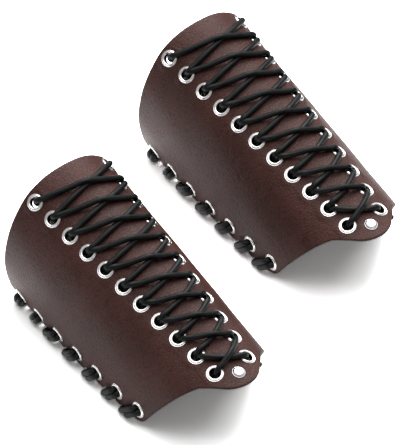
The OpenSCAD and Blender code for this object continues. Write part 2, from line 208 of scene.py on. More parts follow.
def seatAt(v, s):
    # Frame of a fitting on the outer face: origin, lateral, elbow-ward and outward axes
    a = turnAt(v, s)
    x, z = tangent(a), outward(v, a)
    return np.array([facePoint(v, a), x, np.cross(z, x), z])


def seatPoint(f, p):
    # A point given on a seat's three axes
    return f[0] + p[0] * f[1] + p[1] * f[2] + p[2] * f[3]


def share(key, i):
    # Even steps of a row's value from its first fitting to its last
    count = rows["lacing"] if key[0] == "l" else rows["edge"]
    return rows[key][0] + (rows[key][1] - rows[key][0]) * i / (count - 1)


def edgeS(i):
    # Arc length of an edge eyelet, a margin up from the table
    return float(tableArc(share("edgeV", i))) - rows["edgeMargin"]


def leanAt(i):
    # Angle by which the closing lace leans to the elbow between edge and eyelet
    return math.atan(lace["drift"][i] / (rows["edgeMargin"] - lace["edgeLift"]))


def passV(i, way):
    # v at which a pass of the closing lace goes under the edge
    return share("edgeV", i) - lace["drift"][i] - way * twin / math.cos(leanAt(i))


lacingSeats = {side: [seatAt(share("lacingV", i), side * share("lacingS", i))
                      for i in range(rows["lacing"])] for side in (-1, 1)}
edgeSeats = {side: [seatAt(share("edgeV", i), side * edgeS(i))
                    for i in range(rows["edge"])] for side in (-1, 1)}
rivetSeat = seatAt(rows["rivetV"], 0.0)

places = {}
for cuffName in ("right_cuff", "left_cuff"):
    low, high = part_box(cuffName + "_leather")
    places[cuffName] = np.array([(low[0] + high[0]) / 2 / mm, low[1] / mm + cuff["tabTip"], 0.0])
print("cuffs stand at", {k: np.round(p, 2).tolist() for k, p in places.items()})


# Meshes

def addMesh(name, verts, faces, attributes=None, uv=None):
    # One closed smooth mesh from points in millimetres, doubles merged, normals outwards
    mesh = bpy.data.meshes.new(name)
    mesh.from_pydata((verts * mm).tolist(), [], faces.tolist())
    for key, values in (attributes or {}).items():
        mesh.attributes.new(key, "FLOAT", "POINT").data.foreach_set(
            "value", np.ascontiguousarray(values, np.float32))
    if uv is not None:
        loops = np.zeros(len(mesh.loops), np.int32)
        mesh.loops.foreach_get("vertex_index", loops)
        mesh.uv_layers.new(name="alongLace").data.foreach_set(
            "uv", np.ascontiguousarray(uv[loops], np.float32).ravel())
    work = bmesh.new()
    work.from_mesh(mesh)
    bmesh.ops.remove_doubles(work, verts=work.verts, dist=1e-6)
    bmesh.ops.recalc_face_normals(work, faces=work.faces)
    work.to_mesh(mesh)
    work.free()
    mesh.polygons.foreach_set("use_smooth", np.ones(len(mesh.polygons), bool))
    piece = bpy.data.objects.new(name, mesh)
    bpy.context.scene.collection.objects.link(piece)
    return piece


def dress(piece, cuffName, slot, material, *nodes):
    # The piece takes its finish, rides with its cuff and stands for its CAD nodes
    piece.data.materials.append(material)
    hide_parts(*[cuffName + "_" + n for n in nodes])
    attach(piece, cuffName)


def quadGrid(n, m, wrap=False):
    # Quads of an n by m grid of points, closed round the second way if wrap
    i = np.arange(n - 1)[:, None]
    j = np.arange(m if wrap else m - 1)[None, :]
    k = (j + 1) % m
    return np.stack([i * m + j, i * m + k, (i + 1) * m + k, (i + 1) * m + j], -1).reshape(-1, 4)


# Leather: the section swept along straight generators, as a closed sheet with round edges

leather = {
    "rows": 170, "columns": 214,
    "startLength": 150.0, "rounds": 80,  # the grid starts this long and settles in these rounds
    "insets": (0.0, 0.06, 0.2, 0.42),    # rings of points within the rounded edge
    "edgeR": 0.8,
    "seatFlat": 0.35, "seatReach": 4.2,  # flat margin of a fitting, and the slope beyond it
    "seatGap": 0.02, "seatDepth": 6.0,   # gap under the rim, and how deep the press is felt
    "seatSwell": 0.1, "swellAt": 1.3, "swellW": 0.8,
    "holeDepth": 8.0,                    # a hole is cut only this far from its seat's plane
    "wave": 0.16,
    "riseW": 4.8,                        # slope of the lower edge beside each pair of passes
    "wornW": 2.2,                        # how far rubbing reaches in from an edge
}


def borderShares(count, low):
    # Shares and insets of one grid direction: a few rings close to each border, then even ones
    insets = np.array(leather["insets"])
    inner = np.linspace(low, 1, count)
    shares = np.concatenate([np.full(len(insets), low), inner, np.ones(len(insets))])
    inset = np.concatenate([insets, np.full(count, leather["edgeR"]), insets[::-1]])
    return shares, inset


def edgeRise(v):
    # Height of the lower edge: a low round arch over each pair of passes
    z = np.zeros_like(v)
    for i in range(rows["edge"]):
        mid, half = (passV(i, 1) + passV(i, -1)) / 2, (passV(i, -1) - passV(i, 1)) / 2
        d = np.maximum(np.abs(v - mid) - half, 0)
        z = np.maximum(z, lace["rise"] * (1 - (d / leather["riseW"]) ** 2))
    return np.where(v < passV(0, 1), lace["rise"], z)


def sheetGrid():
    # v and turn of each grid point, found by repeating until both agree
    shareV, insetV = borderShares(leather["rows"], 0.0)
    shareA, insetA = borderShares(leather["columns"], -1.0)
    r = leather["edgeR"]
    atWrist = np.arange(len(shareV)) > len(shareV) / 2
    offset = np.where(atWrist, 2 * r - insetV, insetV)[:, None]
    v = np.repeat(shareV[:, None] * leather["startLength"], len(shareA), 1)
    for _ in range(leather["rounds"]):
        a = shareA * (tableTurn(v, edgeRise(v)) - insetA / along("flankR", v))
        ve = elbowEdge(arcAt(0, np.abs(a)))
        vw = wristEdge(arcAt(cuff["skirtMid"], np.abs(a)))
        v = 0.5 * v + 0.5 * (ve + offset + shareV[:, None] * (vw - ve - 2 * r))
    return v, a, np.minimum(insetV[:, None], insetA)


def wave(v, s):
    # Gentle unevenness of a hand-made sheet: a sum of slow sines
    return leather["wave"] * (np.sin(v / 9.3 + s / 13.7) * np.cos(s / 8.1 - v / 21)
                              + 0.7 * np.sin(v / 17.1 - s / 10.9 + 1.3))


def pressSeats(points, inner):
    # Each fitting presses its patch flat with a smooth step, and the leather swells in a low
    # ring, a bell curve across, just outside it
    level = -cuff["thick"] if inner else -eyelet["press"] - leather["seatGap"]
    height = 0 if inner else leather["seatSwell"]
    reach = leather["seatReach"]
    for f, r in ([(f, rimR) for side in (-1, 1) for f in lacingSeats[side] + edgeSeats[side]]
                 + [(rivetSeat, rivet["capD"] / 2)]):
        local = (points - f[0]) @ f[1:].T
        d = np.hypot(local[..., 0], local[..., 1])
        t = np.clip((r + leather["seatFlat"] + reach - d) / reach, 0, 1)
        w = t * t * (3 - 2 * t) * (np.abs(local[..., 2]) < leather["seatDepth"])
        swell = height * np.exp(-((d - r - leather["swellAt"]) / leather["swellW"]) ** 2)
        points = points + ((level + swell - local[..., 2]) * w)[..., None] * f[3]
    return points


def cellCorners(cells):
    # True at each grid point that is a corner of a true cell
    corners = np.zeros((cells.shape[0] + 1, cells.shape[1] + 1), bool)
    corners[:-1, :-1] |= cells
    corners[1:, :-1] |= cells
    corners[:-1, 1:] |= cells
    corners[1:, 1:] |= cells
    return corners


def roundHoles(points, cells, radius, seats):
    # Cells inside a hole go, and the points left on its border move out to the circle
    for f in seats:
        local = (points - f[0]) @ f[1:].T
        d = np.hypot(local[..., 0], local[..., 1])
        d = np.where(np.abs(local[..., 2]) > leather["holeDepth"], np.inf, d)
        gone = (d[:-1, :-1] + d[1:, :-1] + d[:-1, 1:] + d[1:, 1:]) / 4 < radius
        cells &= ~gone
        move = cellCorners(gone) & cellCorners(~gone) & (d < radius * 2)
        scale = np.where(move, radius / np.maximum(d, 0.1), 1) - 1
        points = points + (local[..., 0] * scale)[..., None] * f[1] * move[..., None] \
            + (local[..., 1] * scale)[..., None] * f[2] * move[..., None]
    return points, cells


def makeLeather():
    # Outer and inner face at their offsets from the section, both rolled in at the edges on
    # a quarter circle; walls close the sheet along every border between kept and cut cells
    v, a, inset = sheetGrid()
    s = np.sign(a) * arcAt(v, np.abs(a))
    r = leather["edgeR"]
    roll = np.where(inset < r, r - np.sqrt(np.maximum(r * r - (r - inset) ** 2, 0)), 0)
    face, normal, lift = facePoint(v, a), outward(v, a), wave(v, s)
    outer = pressSeats(face + (lift - roll)[..., None] * normal, False)
    inner = pressSeats(face + (lift - cuff["thick"] + roll)[..., None] * normal, True)
    cells = np.ones((v.shape[0] - 1, v.shape[1] - 1), bool)
    holes = [f for side in (-1, 1) for f in lacingSeats[side] + edgeSeats[side]]
    both = []
    for points in (outer, inner):
        points, cells = roundHoles(points, cells, holeR, holes)
        points, cells = roundHoles(points, cells, rivet["hole"], [rivetSeat])
        both.append(points)
    n, m = v.shape
    quads = quadGrid(n, m)[cells.ravel()]
    solid = np.zeros((n + 1, m + 1), bool)
    solid[1:-1, 1:-1] = cells
    at = np.arange(n * m).reshape(n, m)
    i, j = np.nonzero(solid[1:-1, 1:] != solid[1:-1, :-1])
    upright = np.stack([at[i, j], at[i + 1, j]], -1)
    i, j = np.nonzero(solid[1:, 1:-1] != solid[:-1, 1:-1])
    level = np.stack([at[i, j], at[i, j + 1]], -1)
    rim = np.concatenate([upright, level])
    wall = np.concatenate([rim, rim[:, ::-1] + n * m], 1)
    faces = np.concatenate([quads, quads[:, ::-1] + n * m, wall])
    points = np.concatenate([both[0].reshape(-1, 3), both[1].reshape(-1, 3)])
    points[:, 2] = np.maximum(points[:, 2], 0)
    used = np.unique(faces)
    order = np.full(len(points), -1)
    order[used] = np.arange(len(used))
    cut = np.clip(1 - inset.ravel() / r, 0, 1)
    toEdge = np.minimum(np.minimum(np.abs(v - v.min(0)), np.abs(v.max(0) - v)),
                        np.abs(s).max(1, keepdims=True) - np.abs(s))
    worn = np.exp(-toEdge / leather["wornW"]).ravel()
    attributes = {
        "cutEdge": np.tile(cut, 2)[used],
        "rubbed": np.tile(worn, 2)[used],
        "fleshSide": np.repeat([0.0, 1.0], n * m)[used],
    }
    return points[used], order[faces], attributes


# Turned fittings: a closed profile carried round an axis, then set on every seat of a row

def turnedRing(profile, segments):
    # Points of the profile (radius, height) turned round the outward axis
    t = np.arange(segments) * 2 * np.pi / segments
    r, z = profile[:, 0][:, None], profile[:, 1][:, None]
    return np.stack([r * np.cos(t), r * np.sin(t), z + 0 * t], -1).reshape(-1, 3)


def arcPoints(x, y, r, start, end, count):
    # Points on a circle between two angles in degrees
    t = np.radians(np.linspace(start, end, count))
    return np.stack([x + r * np.cos(t), y + r * np.sin(t)], -1)


def eyeletProfile():
    # Flat lip, crease, half round rim, straight barrel, and the end rolled over the washer
    roll, base, lip = (eyelet["rimW"] - eyelet["lipW"]) / 2, -eyelet["press"], eyelet["lipT"]
    soft, crease, step = eyelet["soft"], boreR + 2 * roll, 0.02
    rim = arcPoints(boreR + roll, base, roll, 8, 180, 20)
    end = arcPoints(boreR + eyelet["rollR"], washerBack, eyelet["rollR"], 180, 360, 12)
    return np.concatenate([
        arcPoints(rimR - soft, base + soft, soft, -90, 0, 3),
        arcPoints(rimR - soft, base + lip - soft, soft, 0, 90, 4),
        [[crease + soft, base + lip - step], [crease + step, base + eyelet["creaseFloor"]]],
        rim, end, [[boreR + eyelet["wall"], washerBack], [boreR + eyelet["wall"], base]]])


def insideShare(profile):
    # 1 down the barrel and on the rolled end, where shade is painted, 0 on the rim
    deep = np.clip((0.3 - profile[:, 1]) / 0.4, 0, 1) * (profile[:, 0] < boreR + 0.7)
    return np.repeat(deep, eyelet["segments"])


def rivetProfile():
    # A button on a thin lip, flat on top: rise times the root of 1 - share of radius^4
    edge, lip, base = rivet["capD"] / 2, rivet["lipT"], -eyelet["press"]
    t = np.sin(np.linspace(np.pi / 2, 0, rivet["domeRings"]))
    rise = (rivet["capH"] - lip) * np.sqrt(1 - t**4)
    dome = np.stack([(edge - rivet["lipW"]) * t, base + lip + rise], -1)
    soft = rivet["soft"]
    return np.concatenate([
        [[0.0, base], [edge - soft, base]],
        arcPoints(edge - soft, base + soft, soft, -90, 0, 3)[1:],
        arcPoints(edge - soft, base + lip - soft, soft, 0, 90, 4), dome])


def onSeats(profile, segments, seats, closed):
    # The turned ring repeated on each seat: origin + x X + y Y + z Z
    ring = turnedRing(profile, segments)
    frames = np.array(seats)
    points = frames[:, None, 0] + np.einsum("pk,fkc->fpc", ring, frames[:, 1:])
    quads = quadGrid(len(profile), segments, wrap=True)
    if closed:
        last = (len(profile) - 1) * segments
        j = np.arange(segments)
        k = (j + 1) % segments
        quads = np.concatenate([quads, np.stack([last + j, last + k, k, j], -1)])
    faces = quads[None] + (np.arange(len(seats)) * len(ring))[:, None, None]
    return points.reshape(-1, 3), faces.reshape(-1, 4)


# Laces: a round tube along a smooth line through the points of its route

def at(point, swell=0.0):
    # A point of a route with its share of the full swell
    return np.append(point, swell)


def smoothLine(points):
    # Catmull-Rom line with centripetal spacing, a few steps for each leg
    p = np.concatenate([[2 * points[0] - points[1]], points, [2 * points[-1] - points[-2]]])
    length = np.linalg.norm(np.diff(p[:, :3], axis=0), axis=1)
    t = np.concatenate([[0], np.cumsum(np.sqrt(length))])[:, None]
    p0, p1, p2, p3 = p[:-3], p[1:-2], p[2:-1], p[3:]
    t0, t1, t2, t3 = t[:-3], t[1:-2], t[2:-1], t[3:]
    m1 = (t2 - t1) * ((p1 - p0) / (t1 - t0) - (p2 - p0) / (t2 - t0) + (p2 - p1) / (t2 - t1))
    m2 = (t2 - t1) * ((p2 - p1) / (t2 - t1) - (p3 - p1) / (t3 - t1) + (p3 - p2) / (t3 - t2))
    steps = np.clip(np.ceil(length[1:-1] / lace["step"]), 3, lace["longest"]).astype(int)
    leg = np.repeat(np.arange(len(steps)), steps)
    u = (np.arange(steps.sum()) - np.repeat(np.cumsum(steps) - steps, steps)) / steps[leg]
    u = u[:, None]
    line = ((2 * u**3 - 3 * u**2 + 1) * p1[leg] + (u**3 - 2 * u**2 + u) * m1[leg]
            + (3 * u**2 - 2 * u**3) * p2[leg] + (u**3 - u**2) * m2[leg])
    return np.concatenate([line, points[-1:]])


def tube(points, radius=laceR):
    # Rings of the radius, square to the line, in a frame carried from ring to ring; round ends
    line, swell = np.split(smoothLine(points), [3], axis=1)
    way = unit(np.gradient(line, axis=0))
    side = np.zeros_like(line)
    n = np.cross(way[0], [0.31, 0.17, 1.0])
    for i, t in enumerate(way):  # carried ring by ring, so that the tube doesn't twist
        n = n - (n @ t) * t
        side[i] = n = n / np.linalg.norm(n)
    other = np.cross(way, side)
    far = np.concatenate([[0], np.cumsum(np.linalg.norm(np.diff(line, axis=0), axis=1))])
    r = radius * (1 + lace["swell"] * np.clip(swell[:, 0], 0, 2))
    r = r * (1 + lace["uneven"] * np.sin(far / 2.3) * np.sin(far / 7.9))
    cap = np.radians([90, 65, 40, 18])
    ends = [(line[0] - way[0] * radius * 0.6 * np.sin(q), 0, radius * np.cos(q)) for q in cap] \
        + [(line[-1] + way[-1] * radius * 0.6 * np.sin(q), -1, radius * np.cos(q)) for q in cap[::-1]]
    centre = np.concatenate([[e[0] for e in ends[:4]], line, [e[0] for e in ends[4:]]])
    pick = np.concatenate([np.zeros(4, int), np.arange(len(line)), np.full(4, len(line) - 1)])
    r = np.concatenate([[e[2] for e in ends[:4]], r, [e[2] for e in ends[4:]]])
    turn = np.arange(lace["sides"]) * 2 * np.pi / lace["sides"]
    ring = side[pick][:, None] * np.cos(turn)[None, :, None] \
        + other[pick][:, None] * np.sin(turn)[None, :, None]
    verts = centre[:, None] + r[:, None, None] * ring
    verts[..., 2] = np.maximum(verts[..., 2], 0)  # nothing goes below the table
    uv = np.stack(np.broadcast_arrays(far[pick][:, None] * mm, np.abs(turn / np.pi - 1)[None]), -1)
    return verts.reshape(-1, 3), quadGrid(len(centre), lace["sides"], wrap=True), uv.reshape(-1, 2)


def joined(parts):
    # Several tubes as one mesh
    starts = np.cumsum([0] + [len(p[0]) for p in parts[:-1]])
    return (np.concatenate([p[0] for p in parts]),
            np.concatenate([p[1] + k for p, k in zip(parts, starts)]),
            np.concatenate([p[2] for p in parts]))


def berth(i, way):
    # Place of a lace in its barrel: in the middle at both ends, else beside its twin
    return 0 if i in (0, rows["lacing"] - 1) else way * twin


def outerShare(i, side):
    # How far apart two laces leave an eyelet, as a share of their places in its barrel
    return 0.8 if side > 0 else -0.4 + 1.2 * i / (rows["lacing"] - 1)


def dive(f, side, y, outerY, lean, drop):
    # From the rim's top round the rolled rim, down the barrel and to the bar behind. A point
    # is given on the seat, lateral, elbow-ward and outward, with its share of the swell
    down = np.array([0, 0, 1.0]) - f[2][2] * f[2]
    return [at(seatPoint(f, (-side * 2.4, outerY + 2.4 * lean, 1.85)), 0.8),
            at(seatPoint(f, (-side * 1.15, 0.6 * outerY + 0.4 * y, 0)), 0.9),
            at(seatPoint(f, (side * 0.3, y, washerBack)), 0.9),
            at(seatPoint(f, (0, y, behind)) - drop * unit(down))]


def dropAt(i, side):
    # The second bar at an eyelet hangs below the first
    return barDrop if side > 0 and 0 < i < rows["lacing"] - 1 else 0


def lifted(height, far):
    # A taut lace leaves a bump on a round arch along a tangent line
    reach = math.sqrt(2 * along("crownR", 0) * height)
    return height * np.maximum(0, 1 - far / reach) ** 2


def strand(i, side, over):
    # From row to row over the crown, bowed to the wrist. The rims lift it, and so does the
    # strand that it passes over
    rim, last = boreR + eyelet["rimW"] / 2, rows["lacing"] - 2
    sa, sb = share("lacingS", i), share("lacingS", i + 1)
    ya, yb = berth(i, -1), berth(i + 1, 1)
    outerA, outerB = ya * outerShare(i, side), yb * outerShare(i + 1, -side)
    va, vb, span = share("lacingV", i) - outerA, share("lacingV", i + 1) - outerB, sa + sb
    bow = lace["bow"][0] + (lace["bow"][1] - lace["bow"][0]) * i / last
    slope, bend = (vb - va) / span, 4 * bow / span
    t = np.linspace(rim, span - rim, round(span / lace["every"]))
    q = t / span
    overRims = lifted(rimH, np.minimum(t, span - t) - rim)
    fromMiddle = np.hypot(t - span / 2, lace["crest"]) - lace["crest"]
    overLace = lifted(lace["press"] * lace["d"], fromMiddle) * over
    height = laceR * (1 + lace["swell"]) + lace["lie"] + np.cbrt(overRims**3 + overLace**3)
    line = sheetPoint(va + (vb - va) * q + 4 * bow * q * (1 - q), side * (sa - t), height)
    return (dive(lacingSeats[side][i], side, ya, outerA, -slope - bend, dropAt(i, side))[::-1]
            + [at(p, 1) for p in line]
            + dive(lacingSeats[-side][i + 1], -side, yb, outerB, slope - bend, dropAt(i + 1, side)))


def halfLacing(side):
    # The left half passes over the right one, but for the last crossing
    last = rows["lacing"] - 2
    return [p for i in range(last + 1)
            for p in strand(i, side, side < 0 if i < last else side > 0)]


def knotSeat(side):
    # Behind the last eyelet, clear of its rolled end
    f = lacingSeats[side][-1]
    return seatPoint(f, (0, 0, washerBack - eyelet["rollR"] - lace["gap"] - laceR * 1.85))


def topRoute():
    # Tail, knot, both halves from the wrist and back to it, knot and the tail in view
    tail, right, left = lace["tail"], knotSeat(1), knotSeat(-1)
    bend = right + tail * np.array([0.46, 0.08, -0.2])
    return np.array([at(left + tail * np.array([0.7, -0.3, -0.4])), at(left)]
                    + halfLacing(1)[::-1] + halfLacing(-1)
                    + [at(right), at(bend), at(bend + tail * np.array([0.2, -0.45, 0.02]))])


def knotCoil(centre, x, y, z):
    # A helix round the lace, its radius drawn in at both ends
    t = np.linspace(0, 1, 40)
    r = (lace["knotD"] / 2 - laceR) * np.clip(np.minimum(t, 1 - t) * 14, 0.35, 1)
    turn, height = t * lace["knotTurns"] * 2 * np.pi, (t - 0.5) * laceR * 2.6
    coil = centre + np.stack([r * np.cos(turn), r * np.sin(turn), height], -1) @ np.array([x, y, z])
    return np.concatenate([coil, np.zeros((len(t), 1))], 1)


def storey(k):
    # Height of a bar above the table, so that bars pass over each other
    return laceR + lace["gap"] + k * barDrop


def aside(side, way, turn):
    # Place of one of two passes beside each other, turned with the way they lean
    return way * twin * np.array([-side * math.sin(turn), math.cos(turn)])


def underEdge(i, side, way):
    # From inside the edge, at table level, out under it
    v = passV(i, way)
    end = float(tableArc(v))
    foot = facePoint(v, side * tableTurn(v))
    out = sheetPoint(v, side * (end - lace["edgeLift"]), laceR + 0.7)
    out[2] = max(out[2], storey(0))
    return [at(foot + [-side * 4, 0, storey(0)], 0.8), at(out, 1.6)]


def climb(i, side, way, k):
    # Leans up to the eyelet, over the rim and in, and down to its bar behind
    f, q = edgeSeats[side][i], leanAt(i)
    to = np.array([side * math.cos(q), math.sin(q)])
    back = seatPoint(f, (*aside(side, way, 0), behind - 4 * lace["gap"]))
    back[2] = max(storey(2), back[2] - 0.7 * barDrop) + k * barDrop
    return [at(seatPoint(f, (*(3.9 * to + aside(side, way, q)), overRim)), 1.6),
            at(seatPoint(f, (*(0.25 * to + 1.03 * aside(side, way, q / 2)), 1.6)), 0.8),
            at(seatPoint(f, (*aside(side, way, 0), washerBack))), at(back)]


def halfClosing(side):
    # Row by row: out under the edge and in at the eyelet, across, out at the other eyelet and
    # in under the edge, then back across to the next row
    k, route = int(side < 0), []
    for i in range(rows["edge"]):
        route += underEdge(i, side, 1) + climb(i, side, 1, k)
        route += climb(i, -side, -1, k)[::-1] + underEdge(i, -side, -1)[::-1]
        if i < rows["edge"] - 1:
            va, vb = passV(i, -1), passV(i + 1, 1)  # two points on the slant at the middle
            route += [at([-side * x, -(va + vb) / 2 - (va - vb) * x / 72, storey(k)])
                      for x in (6, -6)]
    return route


tie = np.array([0, -passV(0, 1), lace["knotD"] / 2])  # the knot on the table at the elbow end


def tiedEnd(side):
    # A short end in view, then into the knot on its own side
    r = lace["knotD"] / 2
    return [at(tie + [side * 10, 6.5, laceR + lace["gap"] - r]),
            at(tie + [side * 4.2, 3.4, side * laceR * 0.6]),
            at(tie + [0, 0, side * (laceR + lace["gap"])])]


def closingRoute():
    # From the knot along one half to the wrist, back along the other, and to the knot again
    return np.array(tiedEnd(-1) + halfClosing(1) + halfClosing(-1)[::-1] + tiedEnd(1)[::-1])


# Shared shader groups

def newGroup(name, inputs, outputs):
    # An empty group with its named sockets, and its two end nodes
    group = bpy.data.node_groups.new(name, "ShaderNodeTree")
    for key, kind, value in inputs:
        socket = group.interface.new_socket(name=key, in_out="INPUT", socket_type=kind)
        if value is not None:
            socket.default_value = value
    for key, kind in outputs:
        group.interface.new_socket(name=key, in_out="OUTPUT", socket_type=kind)
    return group, group.nodes.new("NodeGroupInput"), group.nodes.new("NodeGroupOutput")


def add(tree, kind, values=None, **settings):
    # One node with its settings and socket values; a value that is a socket is linked
    node = tree.nodes.new(kind)
    for key, value in settings.items():
        setattr(node, key, value)
    for key, value in (values or {}).items():
        if isinstance(value, bpy.types.NodeSocket):
            tree.links.new(value, node.inputs[key])
        else:
            node.inputs[key].default_value = value
    return node


def math2(tree, operation, a, b=0.0, clamp=False):
    return add(tree, "ShaderNodeMath", {0: a, 1: b}, operation=operation, use_clamp=clamp).outputs[0]


def spread(tree, value, low, high, to=(0.0, 1.0)):
    # Smooth step from low to high, put out between the two values of to
    return add(tree, "ShaderNodeMapRange",
               {"Value": value, "From Min": low, "From Max": high, "To Min": to[0], "To Max": to[1]},
               interpolation_type="SMOOTHSTEP").outputs["Result"]


def mixColour(tree, factor, a, b):
    # a at 0, b at 1; sockets 6 and 7 are the node's two colours
    return add(tree, "ShaderNodeMix", {0: factor, 6: a, 7: b}, data_type="RGBA").outputs[2]


def noise(tree, vector, scale, detail):
    return add(tree, "ShaderNodeTexNoise", {"Vector": vector, "Scale": scale, "Detail": detail,
                                            "Roughness": 0.55}).outputs["Fac"]


def makeUnevenGroup():
    # Slow blotches and fine specks, both from noise on Object coordinates
    group, gin, gout = newGroup("unevenness", [("Vector", "NodeSocketVector", None),
                                               ("Blotch Scale", "NodeSocketFloat", 40.0),
                                               ("Speck Scale", "NodeSocketFloat", 900.0)],
                                [("Blotch", "NodeSocketFloat"), ("Speck", "NodeSocketFloat")])
    blotch = noise(group, gin.outputs["Vector"], gin.outputs["Blotch Scale"], 4.0)
    speck = noise(group, gin.outputs["Vector"], gin.outputs["Speck Scale"], 2.0)
    group.links.new(spread(group, blotch, 0.3, 0.7), gout.inputs["Blotch"])
    group.links.new(spread(group, speck, 0.3, 0.7), gout.inputs["Speck"])
    return group


def makeGrainGroup():
    # Pebbles: cells whose borders are bent by noise, domed inside and creased between
    group, gin, gout = newGroup("pebbleGrain", [("Vector", "NodeSocketVector", None),
                                                ("Cell Scale", "NodeSocketFloat", 800.0)],
                                [("Height", "NodeSocketFloat"), ("Crease", "NodeSocketFloat")])
    bent = add(group, "ShaderNodeTexNoise", {"Vector": gin.outputs["Vector"], "Scale": 420.0,
                                             "Detail": 2.0}).outputs["Color"]
    shift = add(group, "ShaderNodeVectorMath", {0: bent, 1: (0.0016, 0.0016, 0.0016)},
                operation="MULTIPLY").outputs[0]
    moved = add(group, "ShaderNodeVectorMath", {0: gin.outputs["Vector"], 1: shift},
                operation="ADD").outputs[0]
    cells = add(group, "ShaderNodeTexVoronoi", {"Vector": moved, "Scale": gin.outputs["Cell Scale"]},
                feature="F1").outputs["Distance"]
    border = add(group, "ShaderNodeTexVoronoi", {"Vector": moved, "Scale": gin.outputs["Cell Scale"]},
                 feature="DISTANCE_TO_EDGE").outputs["Distance"]
    crease = spread(group, border, 0.0, 0.16, (1.0, 0.0))
    dome = math2(group, "SUBTRACT", 0.8, cells)
    fine = noise(group, gin.outputs["Vector"], 3200.0, 2.0)
    height = math2(group, "ADD", math2(group, "SUBTRACT", dome, math2(group, "MULTIPLY", crease, 0.5)),
                   math2(group, "MULTIPLY", fine, 0.15))
    group.links.new(height, gout.inputs["Height"])
    group.links.new(crease, gout.inputs["Crease"])
    return group


unevenness = makeUnevenGroup()
pebbleGrain = makeGrainGroup()


def newMaterial(name, values):
    # A Principled material with plain values on its sockets, and Object coordinates
    material = bpy.data.materials.new(name)
    material.use_nodes = True
    tree = material.node_tree
    shader = tree.nodes["Principled BSDF"]
    for key, value in values.items():
        shader.inputs[key].default_value = value
    spot = add(tree, "ShaderNodeTexCoord").outputs["Object"]
    return material, tree, shader, spot


def placeGroup(tree, group, values):
    return add(tree, "ShaderNodeGroup", values, node_tree=group)


def bump(tree, height, strength, distance, normal=None):
    values = {"Height": height, "Strength": strength, "Distance": distance}
    if normal is not None:
        values["Normal"] = normal
    return add(tree, "ShaderNodeBump", values).outputs["Normal"]


leatherLook = {
    "dark": (0.073, 0.027, 0.021, 1), "mid": (0.105, 0.04, 0.033, 1),
    # crease: painted shade in the hollows between the pebbles
    "crease": (0.018, 0.009, 0.008, 1), "creaseShadeShare": 0.55,
    "rubbed": (0.135, 0.062, 0.05, 1), "rubShare": 0.45,
    # cut: the edge's dark dye, darkened further as painted shade
    "cut": (0.02, 0.01, 0.008, 1), "flesh": (0.05, 0.026, 0.021, 1),
    "roughness": (0.36, 0.48), "fleshRougher": 0.3, "gloss": 0.2,
    "blotchScale": 38.0, "speckScale": 1300.0, "cellScale": 600.0,
    "blotchDepth": 0.0006, "grainDepth": 0.0002,
}


def makeLeatherMaterial():
    # Dark reddish brown: blotches from dark to mid, painted shade in the grain's creases, cut edges
    # darker (their dark dye and painted shade), rubbed edges lighter, matt inside; low pebbles over slow
    # dents
    look = leatherLook
    material, tree, shader, spot = newMaterial("cuffLeather", {"Specular IOR Level": look["gloss"]})
    uneven = placeGroup(tree, unevenness, {"Vector": spot, "Blotch Scale": look["blotchScale"],
                                           "Speck Scale": look["speckScale"]})
    grain = placeGroup(tree, pebbleGrain, {"Vector": spot, "Cell Scale": look["cellScale"]})
    fields = {k: add(tree, "ShaderNodeAttribute", attribute_name=k).outputs["Fac"]
              for k in ("cutEdge", "rubbed", "fleshSide")}
    colour = mixColour(tree, uneven.outputs["Blotch"], look["dark"], look["mid"])
    # The grain's creases darkened towards near black: painted shade
    crease = math2(tree, "MULTIPLY", grain.outputs["Crease"], look["creaseShadeShare"])
    colour = mixColour(tree, crease, colour, look["crease"])
    worn = math2(tree, "MULTIPLY", fields["rubbed"], spread(tree, uneven.outputs["Speck"], 0.2, 0.9))
    worn = math2(tree, "MULTIPLY", worn, look["rubShare"])
    colour = mixColour(tree, worn, colour, look["rubbed"])
    colour = mixColour(tree, fields["fleshSide"], colour, look["flesh"])
    # Cut edges near black: partly their dark dye, partly painted shade
    colour = mixColour(tree, spread(tree, fields["cutEdge"], 0.15, 0.5), colour, look["cut"])
    tree.links.new(colour, shader.inputs["Base Color"])
    matt = math2(tree, "ADD", math2(tree, "MULTIPLY", uneven.outputs["Blotch"], 0.6),
                 math2(tree, "MULTIPLY", grain.outputs["Crease"], 0.4))
    matt = spread(tree, matt, 0, 1, look["roughness"])
    fleshMatt = math2(tree, "MULTIPLY", fields["fleshSide"], look["fleshRougher"])
    tree.links.new(math2(tree, "ADD", matt, fleshMatt, clamp=True), shader.inputs["Roughness"])
    keep = math2(tree, "SUBTRACT", 1.0, math2(tree, "MULTIPLY", fields["fleshSide"], 0.6))
    height = math2(tree, "MULTIPLY", grain.outputs["Height"], keep)
    dents = bump(tree, uneven.outputs["Blotch"], 0.25, look["blotchDepth"])
    tree.links.new(bump(tree, height, 0.7, look["grainDepth"], dents), shader.inputs["Normal"])
    return material


laceLook = {
    "deep": (0.0022, 0.0027, 0.003, 1), "waxed": (0.0115, 0.013, 0.0135, 1),
    "roughness": (0.3, 0.5), "gloss": 0.2, "blotchScale": 120.0, "speckScale": 2200.0,
    "streaks": (260.0, 9.0, 1.0),   # to the metre along the lace, and to half a turn round it
    "streakDepth": 0.0003, "speckDepth": 0.00005,
}


